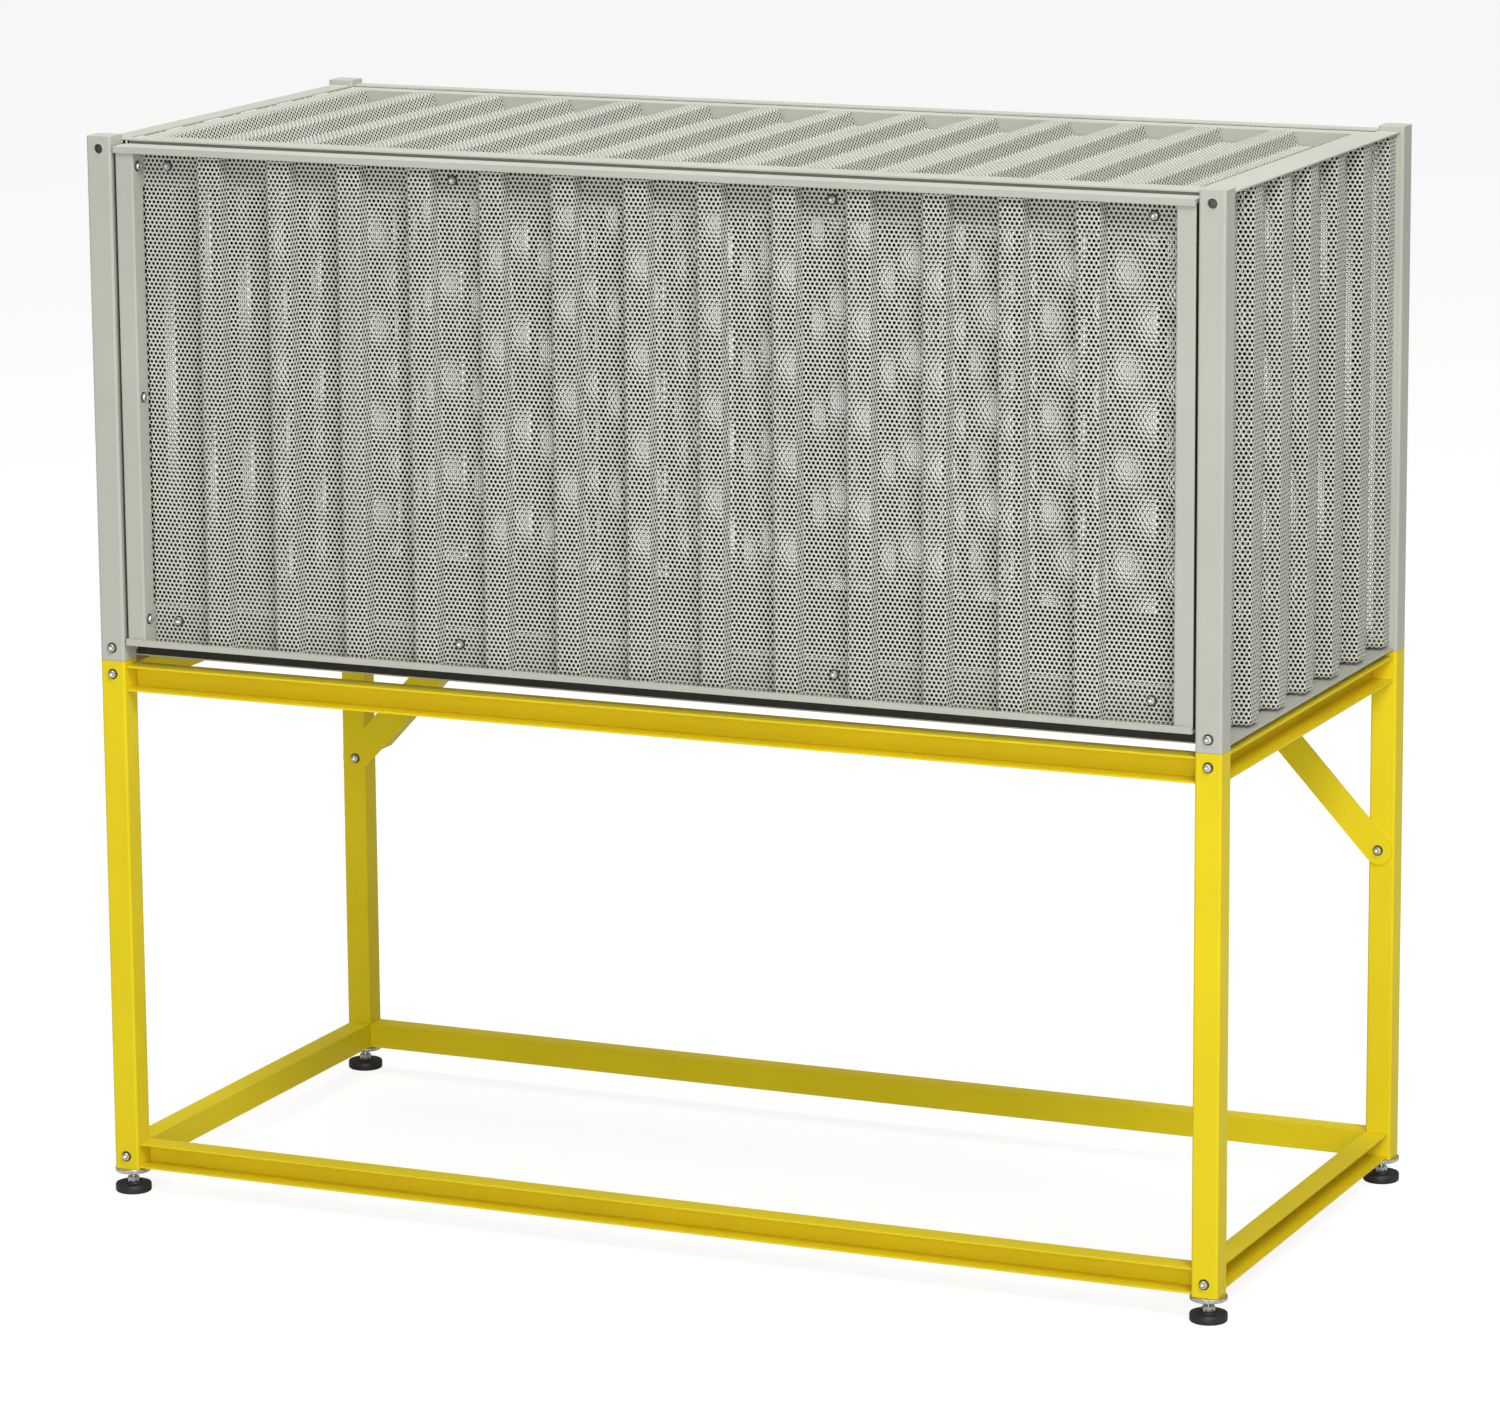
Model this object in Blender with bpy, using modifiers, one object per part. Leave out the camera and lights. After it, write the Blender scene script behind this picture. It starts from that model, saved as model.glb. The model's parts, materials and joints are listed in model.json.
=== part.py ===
"""Container-style cabinet with a drop-down front flap, on a four-legged stand.

Metres, +Z up, the front faces -Y. The origin is on the floor under the middle of the object.
"""

import math

import bmesh
import bpy
from mathutils import Matrix, Vector

# Driving dimensions
WIDTH = 1.200
DEPTH = 0.550
POST = 0.027  # side of the square tube of posts and legs
POST_WALL = 0.002
POST_CORNER = 0.0025
SHEET = 0.0015
GAP = 0.0003  # clearance between neighbouring pieces
CUT_PAST = 0.002  # how far a cutter passes the end of what it cuts
FOOT_HEIGHT = 0.026
STAND_TOP = 0.5585
POST_TOP = 1.090
RIM_TOP = 1.085
CABINET_FLOOR = 0.5605  # underside of the floor tray
TRAY_RISE = 0.018

# Stand rails: U-channels, their webs on the inner side of the legs
RAIL_HEIGHT = 0.026
RAIL_SHEET = 0.002
RAIL_INSET = 0.0035  # flange edges behind the outer faces of the legs
UPPER_RAIL_TOP = 0.5537
LOWER_RAIL_TOP = 0.0535

# Front flap
FLAP_SIDE_GAP = 0.003
FLAP_BOTTOM = 0.5757
FLAP_TOP = 1.0807
STILE_WIDTH = 0.020
STILE_INSET = 0.0035  # stile face behind the lips of the two flap rails
LIP_HEIGHT = 0.0064
LIP_THICKNESS = 0.003
REAR_FLANGE = 0.040
PIVOT_HEIGHT = 0.600
PIVOT_BACK = 0.0135  # pivot axis behind the front of the flap
PIN_RADIUS = 0.003
PIN_CLEARANCE = 0.00008
PIN_LENGTH = 0.016
COLLAR_RADIUS = 0.0047
STILE_CORNER = 0.002
SHEET_SCREW_X = 0.5215
SHEET_SCREW_HEIGHTS = {"bottom": 0.600, "top": 1.0605}
CATCH_X = 0.350
CATCH = (0.040, 0.0115, 0.016)

# Corrugated perforated sheets, modelled without their holes
CREST = 0.0245
SLOPE_RUN = 0.0023
CORRUGATION = 0.016
ROOF_RUN = 0.0045
ROOF_CORRUGATION = 0.014
FLAP_PITCH = 0.0774
FLAP_FIRST_CREST = -0.4803
FLAP_CRESTS = 13
WALL_PITCH = 0.0800
BACK_PITCH = 0.0787
ROOF_PITCH = 0.0798
ROOF_CRESTS = 13
WALL_CRESTS = 7
BACK_CRESTS = 14
WALL_INSET = 0.008  # crests of the side and back walls behind the post faces
WALL_LIFT = 0.005  # foot of a side or back wall above the underside of the floor tray
LEDGE_INSET = 0.0035  # edge of the flat strip under a wall, behind the post faces
LEDGE_SHEET = 0.002

# Rims around the roof
RIM_SKIRT = 0.018  # height of the folded front and rear rims
RIM_SETBACK = 0.001  # front rim inside the rear faces of the front posts
FRONT_RIM_DEPTH = 0.012
REAR_RIM_DEPTH = 0.019
REAR_RIM_INSET = 0.002
SIDE_RIM_INSET = 0.004
ROOF_DROP = 0.002  # roof sheet below the rims
ROOF_FRONT_MARGIN = 0.030
ROOF_REAR_MARGIN = 0.022

# Corner tubes: spigots, foot blocks and the round port near the top of each post
SPIGOT = 0.030  # length of the spigot above and below the joint of leg and post
FOOT_BLOCK = 0.022
PORT_RADIUS = 0.005
PORT_DROP = 0.0125

# Fasteners: M6 button heads
SCREW_LENGTH = 0.008
HEAD_RADIUS = 0.00525
HEAD_HEIGHT = 0.0033
SHANK_RADIUS = 0.003
SOCKET_RADIUS = 0.002
SCREW_OFFSET = 0.0135  # from the joint between post and leg

# Braces
BRACE_WIDTH = 0.030
BRACE_FLANGE = 0.024
BRACE_ANGLE = math.radians(47.3)
BRACE_LOW = (0.5835, 0.3516)
BRACE_HIGH = 0.5410
BRACE_END = 0.004  # plate beyond its upper screw
BRACE_FLANGE_START = 0.030  # flange clear of the leg and, at the top, of the rail
BRACE_FLANGE_END = 0.032

# Feet
PAD_RADIUS = 0.0185
PAD_HEIGHT = 0.010
PAD_SOCKET = 0.004
PAD_CHAMFER = 0.0012
STEM_RADIUS = 0.004
STEM_INSERT = 0.024  # stem inside the foot block of the leg
NUT_RADIUS = 0.0068
NUT_HEIGHT = 0.003
DISC_RADIUS = 0.0175
DISC_HEIGHT = 0.0025

HALF_WIDTH = WIDTH / 2
HALF_DEPTH = DEPTH / 2
INNER_X = HALF_WIDTH - POST  # inner faces of posts and legs
INNER_Y = HALF_DEPTH - POST
FLAP_HALF = INNER_X - FLAP_SIDE_GAP
STILE_INNER = FLAP_HALF - STILE_WIDTH
FLAP_FRONT = -HALF_DEPTH
STILE_FRONT = FLAP_FRONT + STILE_INSET
RIM_FRONT = -INNER_Y + RIM_SETBACK
ROOF_TOP = RIM_TOP - ROOF_DROP
PIVOT = Vector((0, FLAP_FRONT + PIVOT_BACK, PIVOT_HEIGHT))
LEG_SCREW_HEIGHTS = (STAND_TOP - SCREW_OFFSET, STAND_TOP + SCREW_OFFSET, FOOT_HEIGHT + SCREW_OFFSET)
SIDES = (("left", -1), ("right", 1))
ENDS = (("front", -1), ("rear", 1))
ROUND_SEGMENTS = 20

for item in list(bpy.data.objects):
    bpy.data.objects.remove(item)


def make_collection(name):
    collection = bpy.data.collections.new(name)
    bpy.context.scene.collection.children.link(collection)
    return collection


PARTS = make_collection("container_cabinet")
CUTTERS = make_collection("cutters")


def make_material(name, colour, roughness, metallic):
    material = bpy.data.materials.new(name)
    material.use_nodes = True
    shader = material.node_tree.nodes["Principled BSDF"]
    shader.inputs["Base Color"].default_value = (*colour, 1)
    shader.inputs["Roughness"].default_value = roughness
    shader.inputs["Metallic"].default_value = metallic
    material.diffuse_color = (*colour, 1)
    return material


LOOKS = {
    "grey": ((0.55, 0.55, 0.48), 0.5, 0.0),
    "yellow": ((0.80, 0.60, 0.02), 0.45, 0.0),
    "zinc": ((0.66, 0.66, 0.64), 0.3, 1.0),
    "rubber": ((0.02, 0.02, 0.02), 0.7, 0.0),
    "black": ((0.03, 0.03, 0.03), 0.5, 0.0),
}


def make_part(name, mesh, look):
    """An object in the parts collection, with its own material."""
    part = bpy.data.objects.new(name, mesh)
    PARTS.objects.link(part)
    part.data.materials.clear()
    part.data.materials.append(make_material(f"{name}_{look}", *LOOKS[look]))
    return part


def mesh_from(bm, name):
    mesh = bpy.data.meshes.new(name)
    bm.to_mesh(mesh)
    bm.free()
    return mesh


def add_box(bm, low, high):
    """Adds a box between two corners and returns its vertices."""
    low, high = Vector(low), Vector(high)
    matrix = Matrix.Translation((low + high) / 2) @ Matrix.Diagonal((*(high - low), 1))
    return bmesh.ops.create_cube(bm, size=1, matrix=matrix)["verts"]


def make_block(name, low, high, look):
    bm = bmesh.new()
    add_box(bm, low, high)
    return make_part(name, mesh_from(bm, name), look)


def add_bar(bm, low, high, radius):
    """Adds an upright box whose four upright edges are rounded."""
    verts = add_box(bm, low, high)
    edges = {edge for vert in verts for edge in vert.link_edges}
    upright = [e for e in edges if abs(e.verts[0].co.z - e.verts[1].co.z) > 1e-6]
    bmesh.ops.bevel(bm, geom=upright, offset=radius, segments=4, profile=0.5, affect="EDGES")


def add_cylinder(bm, centre, direction, radius, depth, segments=ROUND_SEGMENTS):
    """Adds a cylinder that starts at centre and runs along direction."""
    turn = Vector((0, 0, 1)).rotation_difference(Vector(direction)).to_matrix().to_4x4()
    middle = Vector(centre) + Vector(direction).normalized() * depth / 2
    bmesh.ops.create_cone(
        bm,
        cap_ends=True,
        segments=segments,
        radius1=radius,
        radius2=radius,
        depth=depth,
        matrix=Matrix.Translation(middle) @ turn,
    )


def add_spun(bm, profile, steps, place, direction):
    """Adds a solid of revolution whose axis points along direction; profile is radius, height."""
    part = bmesh.new()
    verts = [part.verts.new((radius, 0, height)) for radius, height in profile]
    edges = [part.edges.new(pair) for pair in zip(verts, verts[1:])]
    bmesh.ops.spin(
        part,
        geom=verts + edges,
        cent=(0, 0, 0),
        axis=(0, 0, 1),
        angle=2 * math.pi,
        steps=steps,
        use_merge=True,
    )
    bmesh.ops.remove_doubles(part, verts=part.verts, dist=1e-6)
    bmesh.ops.recalc_face_normals(part, faces=part.faces)
    turn = Vector((0, 0, 1)).rotation_difference(Vector(direction)).to_matrix().to_4x4()
    bmesh.ops.transform(part, matrix=Matrix.Translation(place) @ turn, verts=part.verts)
    copy = mesh_from(part, "spun")
    bm.from_mesh(copy)
    bpy.data.meshes.remove(copy)


def add_screw(bm, place, outward, length):
    """Adds a button-head screw on a face with that outward normal."""
    profile = [
        (0, -length),
        (SHANK_RADIUS, -length),
        (SHANK_RADIUS, GAP),
        (HEAD_RADIUS, GAP),
        (HEAD_RADIUS * 0.88, GAP + HEAD_HEIGHT * 0.6),
        (SOCKET_RADIUS, GAP + HEAD_HEIGHT),
        (0, GAP + HEAD_HEIGHT * 0.5),
    ]
    add_spun(bm, profile, 10, place, outward)


def smooth(part, angle=35):
    part.data.shade_smooth()
    part.data.set_sharp_from_angle(angle=math.radians(angle))


def combine(part, other_bm, name, operation):
    """Adds an exact Boolean between a part and the solids of a bmesh."""
    other = bpy.data.objects.new(name, mesh_from(other_bm, name))
    CUTTERS.objects.link(other)
    other.hide_render = True
    other.display_type = "WIRE"
    modifier = part.modifiers.new(name, "BOOLEAN")
    modifier.operation = operation
    modifier.solver = "EXACT"
    modifier.object = other
    return modifier


def cut(part, cutter_bm, name):
    return combine(part, cutter_bm, name, "DIFFERENCE")


def join(part, other_bm, name):
    return combine(part, other_bm, name, "UNION")


def bent_sheet(name, outline, run, thickness, look, offset):
    """A sheet bent along an open outline of points, extruded by the vector run.

    The thickness goes to one side of the outline: offset is 1 or -1, along or against its normals.
    """
    bm = bmesh.new()
    verts = [bm.verts.new(point) for point in outline]
    edges = [bm.edges.new(pair) for pair in zip(verts, verts[1:])]
    grown = bmesh.ops.extrude_edge_only(bm, edges=edges)["geom"]
    moved = [item for item in grown if isinstance(item, bmesh.types.BMVert)]
    bmesh.ops.translate(bm, verts=moved, vec=run)
    part = make_part(name, mesh_from(bm, name), look)
    solidify = part.modifiers.new("thickness", "SOLIDIFY")
    solidify.thickness = thickness
    solidify.offset = offset
    solidify.use_even_offset = True
    return part


def wave(start, end, crests, crest, run, height):
    """Points (along, height) of a corrugated outline. crests are the starts of the crests."""
    points = []
    for low in crests:
        points += [(low - run, 0), (low, height), (low + crest, height), (low + crest + run, 0)]
    inside = [point for point in points if start < point[0] < end]
    first = height if crests[0] <= start + 1e-9 else 0
    last = height if crests[-1] + crest >= end - 1e-9 else 0
    return [(start, first), *inside, (end, last)]


def crest_row(start, pitch, count):
    return [start + step * pitch for step in range(count)]


def centred_crests(pitch, count):
    return crest_row(-((count - 1) * pitch + CREST) / 2, pitch, count)


# Posts and legs

def corner_x(x_side):
    return x_side * (HALF_WIDTH - POST / 2)


def corner_y(y_side):
    return y_side * (HALF_DEPTH - POST / 2)


def add_core(bm, x_side, y_side, low, high, inset):
    """Adds an upright square block centred in a corner tube, inset from its outer faces."""
    half = POST / 2 - inset
    x, y = corner_x(x_side), corner_y(y_side)
    add_box(bm, (x - half, y - half, low), (x + half, y + half, high))


def add_screw_hole(bm, place, direction=(0, 1, 0)):
    """Adds a clearance hole for a screw on a face, reaching just past the screw's tip."""
    start = Vector(place) - Vector(direction) * (SCREW_LENGTH + GAP)
    add_cylinder(bm, start, direction, SHANK_RADIUS + GAP, 2 * (SCREW_LENGTH + GAP) + GAP, 12)


def make_tube(name, x_side, y_side, bottom, top, look):
    x_low = x_side * HALF_WIDTH if x_side < 0 else INNER_X
    y_low = y_side * HALF_DEPTH if y_side < 0 else INNER_Y
    bm = bmesh.new()
    add_bar(bm, (x_low, y_low, bottom), (x_low + POST, y_low + POST, top), POST_CORNER)
    part = make_part(name, mesh_from(bm, name), look)
    smooth(part)
    return part


def make_posts():
    """Corner tubes of the cabinet, open below and closed on top, each with a lifting port."""
    for y_name, y_side in ENDS:
        for x_name, x_side in SIDES:
            name = f"post_{y_name}_{x_name}"
            part = make_tube(name, x_side, y_side, STAND_TOP + GAP, POST_TOP, "grey")
            hollow = bmesh.new()
            add_core(hollow, x_side, y_side, STAND_TOP - CUT_PAST, POST_TOP - POST_WALL, POST_WALL)
            cut(part, hollow, f"{name}_hollow")
            holes = bmesh.new()
            if y_side < 0:
                add_screw_hole(holes, (corner_x(x_side), -HALF_DEPTH, STAND_TOP + SCREW_OFFSET))
            port = (corner_x(x_side), y_side * (HALF_DEPTH + POST_WALL), POST_TOP - PORT_DROP)
            add_cylinder(holes, port, (0, -y_side, 0), PORT_RADIUS, 3 * POST_WALL)
            cut(part, holes, f"{name}_holes")


def make_legs():
    """Corner tubes of the stand, with a block for the foot below and a spigot for the post above."""
    for y_name, y_side in ENDS:
        for x_name, x_side in SIDES:
            name = f"leg_{y_name}_{x_name}"
            part = make_tube(name, x_side, y_side, FOOT_HEIGHT, STAND_TOP, "yellow")
            spigot = bmesh.new()
            spigot_low, spigot_high = STAND_TOP - SPIGOT, STAND_TOP + SPIGOT
            add_core(spigot, x_side, y_side, spigot_low, spigot_high, POST_WALL + GAP)
            join(part, spigot, f"{name}_spigot")
            hollow = bmesh.new()
            block_top = FOOT_HEIGHT + FOOT_BLOCK
            add_core(hollow, x_side, y_side, block_top, STAND_TOP - SPIGOT, POST_WALL)
            stem = (corner_x(x_side), corner_y(y_side), FOOT_HEIGHT - CUT_PAST)
            add_cylinder(hollow, stem, (0, 0, 1), STEM_RADIUS + GAP, FOOT_BLOCK + 2 * CUT_PAST)
            cut(part, hollow, f"{name}_hollow").use_self = True
            holes = bmesh.new()
            if y_side < 0:
                for z in LEG_SCREW_HEIGHTS:
                    add_screw_hole(holes, (corner_x(x_side), -HALF_DEPTH, z))
            else:
                add_screw_hole(holes, (x_side * BRACE_LOW[0], INNER_Y, BRACE_LOW[1]))
            cut(part, holes, f"{name}_holes")


def make_screw(name, place, outward, length=None):
    bm = bmesh.new()
    add_screw(bm, place, outward, length or SCREW_LENGTH)
    part = make_part(name, mesh_from(bm, name), "zinc")
    smooth(part)
    return part


def make_frame_screws():
    """Screws on the front faces: post to spigot, leg below its joint, and leg to foot block."""
    rows = (
        ("cabinet_screw", STAND_TOP + SCREW_OFFSET),
        ("stand_screw_top", STAND_TOP - SCREW_OFFSET),
        ("stand_screw_foot", FOOT_HEIGHT + SCREW_OFFSET),
    )
    for row, z in rows:
        for x_name, x_side in SIDES:
            make_screw(f"{row}_{x_name}", (corner_x(x_side), -HALF_DEPTH, z), (0, -1, 0))


# Stand

def channel(name, side, top, along_x):
    """A U-channel rail between two legs, its web inside and its flanges outward."""
    bottom = top - RAIL_HEIGHT
    if along_x:
        outer, inner = side * (HALF_DEPTH - RAIL_INSET), side * INNER_Y
        half = INNER_X - GAP
        points = [(-half, outer, top), (-half, inner, top), (-half, inner, bottom), (-half, outer, bottom)]
        run = (2 * half, 0, 0)
    else:
        outer, inner = side * (HALF_WIDTH - RAIL_INSET), side * INNER_X
        half = INNER_Y - GAP
        points = [(outer, -half, top), (inner, -half, top), (inner, -half, bottom), (outer, -half, bottom)]
        run = (0, 2 * half, 0)
    bent_sheet(name, points, run, RAIL_SHEET, "yellow", side if along_x else -side)


def make_stand_rails():
    for level, top in (("upper", UPPER_RAIL_TOP), ("lower", LOWER_RAIL_TOP)):
        for name, side in ENDS:
            channel(f"rail_{level}_{name}", side, top, True)
        for name, side in SIDES:
            channel(f"rail_{level}_{name}", side, top, False)


def brace_outline(length, half):
    """The brace plate seen flat: a bar with a round lower end, about its lower screw."""
    steps = 10
    angles = [math.pi * (0.5 + step / steps) for step in range(steps + 1)]
    round_end = [(half * math.cos(angle), half * math.sin(angle)) for angle in angles]
    return [*round_end, (length + BRACE_END, -half), (length + BRACE_END, half)]


def plate_from_outline(outline, thickness):
    """A closed flat plate, made from a filled and extruded 2D curve."""
    curve = bpy.data.curves.new("plate_outline", "CURVE")
    curve.dimensions = "2D"
    curve.fill_mode = "BOTH"
    curve.extrude = thickness / 2
    spline = curve.splines.new("POLY")
    spline.points.add(len(outline) - 1)
    for point, (x, y) in zip(spline.points, outline):
        point.co = (x, y, 0, 1)
    spline.use_cyclic_u = True
    holder = bpy.data.objects.new("plate_outline", curve)
    PARTS.objects.link(holder)
    mesh = bpy.data.meshes.new_from_object(holder.evaluated_get(bpy.context.evaluated_depsgraph_get()))
    bpy.data.objects.remove(holder)
    bm = bmesh.new()
    bm.from_mesh(mesh)
    bpy.data.meshes.remove(mesh)
    bmesh.ops.remove_doubles(bm, verts=bm.verts, dist=1e-5)
    bmesh.ops.recalc_face_normals(bm, faces=bm.faces)
    return bm


def make_braces():
    """Two angle bars in front of the rear legs, from each leg up to the rear rail."""
    length = (BRACE_HIGH - BRACE_LOW[1]) / math.sin(BRACE_ANGLE)
    half = BRACE_WIDTH / 2
    front = Vector((0, -1, 0))
    for name, side in SIDES:
        # Local x runs up the bar and local z to the front; the flange is on the lower edge
        along = Vector((-side * math.cos(BRACE_ANGLE), 0, math.sin(BRACE_ANGLE)))
        matrix = Matrix((along, front.cross(along), front)).transposed().to_4x4()
        matrix.translation = (side * BRACE_LOW[0], INNER_Y - GAP - RAIL_SHEET / 2, BRACE_LOW[1])
        flange_y = sorted((side * half, side * (half - RAIL_SHEET)))
        flange = bmesh.new()
        add_box(
            flange,
            (BRACE_FLANGE_START, flange_y[0], -RAIL_SHEET / 2 - BRACE_FLANGE),
            (length - BRACE_FLANGE_END, flange_y[1], 0),
        )
        holes = bmesh.new()
        add_screw_hole(holes, (0, 0, 0), (0, 0, 1))
        plate = mesh_from(plate_from_outline(brace_outline(length, half), RAIL_SHEET), f"brace_{name}")
        part = make_part(f"brace_{name}", plate, "yellow")
        modifiers = (join(part, flange, f"brace_{name}_flange"), cut(part, holes, f"brace_{name}_holes"))
        for item in (part, *(modifier.object for modifier in modifiers)):
            item.matrix_world = matrix
        face = INNER_Y - GAP - RAIL_SHEET
        make_screw(f"brace_screw_{name}", (side * BRACE_LOW[0], face, BRACE_LOW[1]), (0, -1, 0))


def turned(name, profile, centre, look):
    """A solid of revolution about the upright axis through centre; profile from the top down."""
    bm = bmesh.new()
    verts = [bm.verts.new((radius, 0, height)) for radius, height in profile]
    for pair in zip(verts, verts[1:]):
        bm.edges.new(pair)
    part = make_part(name, mesh_from(bm, name), look)
    part.location = (*centre, 0)
    turn = part.modifiers.new("turn", "SCREW")
    turn.steps = turn.render_steps = ROUND_SEGMENTS
    turn.use_merge_vertices = True
    turn.merge_threshold = 0.00001
    turn.use_smooth_shade = False
    return part


def make_feet():
    """Levelling feet: a threaded stem with its disc and nut, on a moulded pad."""
    disc_top = FOOT_HEIGHT - GAP
    nut_top = disc_top - DISC_HEIGHT
    stem_end = PAD_HEIGHT - PAD_SOCKET
    for y_name, y_side in ENDS:
        for x_name, x_side in SIDES:
            centre = (corner_x(x_side), corner_y(y_side))
            stem = [
                (0, FOOT_HEIGHT + STEM_INSERT),
                (STEM_RADIUS, FOOT_HEIGHT + STEM_INSERT),
                (STEM_RADIUS, disc_top),
                (DISC_RADIUS, disc_top),
                (DISC_RADIUS, nut_top),
                (NUT_RADIUS, nut_top),
                (NUT_RADIUS, nut_top - NUT_HEIGHT),
                (STEM_RADIUS, nut_top - NUT_HEIGHT),
                (STEM_RADIUS, stem_end),
                (0, stem_end),
            ]
            turned(f"foot_spindle_{y_name}_{x_name}", stem, centre, "zinc")
            socket = STEM_RADIUS + GAP
            pad = [
                (0, stem_end - GAP),
                (socket, stem_end - GAP),
                (socket, PAD_HEIGHT),
                (PAD_RADIUS * 0.55, PAD_HEIGHT),
                (PAD_RADIUS * 0.93, PAD_HEIGHT * 0.72),
                (PAD_RADIUS, PAD_HEIGHT * 0.45),
                (PAD_RADIUS, PAD_CHAMFER),
                (PAD_RADIUS - PAD_CHAMFER, 0),
                (0, 0),
            ]
            turned(f"foot_pad_{y_name}_{x_name}", pad, centre, "rubber")


# Cabinet walls

def make_rims():
    """The rims around the roof, their tops just below those of the posts.

    The rear one is an angle, the front one a channel open to the front, and the side ones are flat.
    """
    half, back = INNER_X - GAP, HALF_DEPTH - REAR_RIM_INSET
    rear = [
        (-half, back, RIM_TOP - RIM_SKIRT),
        (-half, back, RIM_TOP),
        (-half, back - REAR_RIM_DEPTH, RIM_TOP),
    ]
    bent_sheet("rim_rear", rear, (2 * half, 0, 0), SHEET, "grey", 1)
    front = [
        (-half, RIM_FRONT, RIM_TOP),
        (-half, RIM_FRONT + FRONT_RIM_DEPTH, RIM_TOP),
        (-half, RIM_FRONT + FRONT_RIM_DEPTH, RIM_TOP - RIM_SKIRT),
        (-half, RIM_FRONT, RIM_TOP - RIM_SKIRT),
    ]
    bent_sheet("rim_front", front, (2 * half, 0, 0), SHEET, "grey", -1)
    length = INNER_Y - GAP
    for name, side in SIDES:
        x_low, x_high = sorted((side * INNER_X, side * (HALF_WIDTH - SIDE_RIM_INSET)))
        make_block(f"rim_{name}", (x_low, -length, RIM_TOP - SHEET), (x_high, length, RIM_TOP), "grey")


def make_roof():
    """The drop-in roof sheet, corrugated from front to back between flat margins."""
    half = INNER_X - GAP
    front = RIM_FRONT + FRONT_RIM_DEPTH + GAP
    rear = HALF_DEPTH - REAR_RIM_INSET - REAR_RIM_DEPTH - GAP
    trough = ROOF_TOP - ROOF_CORRUGATION
    crests = centred_crests(ROOF_PITCH, ROOF_CRESTS)
    edge = crests[-1] + ROOF_PITCH
    low, high = front + ROOF_FRONT_MARGIN, rear - ROOF_REAR_MARGIN
    outline = [(-half, ROOF_TOP), (-edge, ROOF_TOP), (-edge + ROOF_RUN, trough)]
    for start in crests:
        outline += [(start - ROOF_RUN, trough), (start, ROOF_TOP)]
        outline += [(start + CREST, ROOF_TOP), (start + CREST + ROOF_RUN, trough)]
    outline += [(edge - ROOF_RUN, trough), (edge, ROOF_TOP), (half, ROOF_TOP)]
    points = [(x, low, z) for x, z in outline]
    part = bent_sheet("roof_panel", points, (0, high - low, 0), SHEET, "grey", 1)
    for name, outer, inner in (("front", front, low + SHEET), ("rear", rear, high - SHEET)):
        margin = bmesh.new()
        plate_y = sorted((outer, inner))
        web_y = (low, inner) if name == "front" else (inner, high)
        add_box(margin, (-half, plate_y[0], ROOF_TOP - SHEET), (half, plate_y[1], ROOF_TOP))
        add_box(margin, (-half, web_y[0], trough - SHEET), (half, web_y[1], ROOF_TOP))
        join(part, margin, f"roof_margin_{name}").use_self = True


def make_side_walls():
    """Corrugated side sheets between the flat rims and flat ledges along their feet."""
    half = INNER_Y - GAP
    low, high = CABINET_FLOOR + WALL_LIFT, RIM_TOP - SHEET - GAP
    ledge_top = CABINET_FLOOR + LEDGE_SHEET
    outline = wave(-half, half, centred_crests(WALL_PITCH, WALL_CRESTS), CREST, SLOPE_RUN, CORRUGATION)
    trough = HALF_WIDTH - WALL_INSET - CORRUGATION
    for name, side in SIDES:
        points = [(side * (trough + height), y, low) for y, height in outline]
        bent_sheet(f"side_wall_{name}", points, (0, 0, high - low), SHEET, "grey", side)
        x_low, x_high = sorted((side * INNER_X, side * (HALF_WIDTH - LEDGE_INSET)))
        make_block(f"side_ledge_{name}", (x_low, -half, CABINET_FLOOR), (x_high, half, ledge_top), "grey")


def make_back_wall():
    """The corrugated back sheet, whose upper edge stays below the roof sheet's rear margin."""
    half = INNER_X - GAP
    low, high = CABINET_FLOOR + WALL_LIFT, ROOF_TOP - SHEET - GAP
    outline = wave(-half, half, centred_crests(BACK_PITCH, BACK_CRESTS), CREST, SLOPE_RUN, CORRUGATION)
    trough = HALF_DEPTH - WALL_INSET - CORRUGATION
    points = [(x, trough + height, low) for x, height in outline]
    bent_sheet("back_wall", points, (0, 0, high - low), SHEET, "grey", -1)
    ledge_high = (half, HALF_DEPTH - LEDGE_INSET, CABINET_FLOOR + LEDGE_SHEET)
    make_block("back_ledge", (-half, INNER_Y, CABINET_FLOOR), ledge_high, "grey")


def make_floor():
    """A folded tray, open to the front, whose upstands back the feet of the walls."""
    half, front, rear = INNER_X - GAP, RIM_FRONT, INNER_Y - GAP
    bm = bmesh.new()
    add_box(bm, (-half, front, CABINET_FLOOR), (half, rear, CABINET_FLOOR + TRAY_RISE))
    open_sides = [face for face in bm.faces if face.normal.z > 0.5 or face.normal.y < -0.5]
    bmesh.ops.delete(bm, geom=open_sides, context="FACES")
    part = make_part("floor_tray", mesh_from(bm, "floor_tray"), "grey")
    solidify = part.modifiers.new("thickness", "SOLIDIFY")
    solidify.thickness = SHEET
    solidify.offset = -1
    solidify.use_even_offset = True


# Flap

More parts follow.
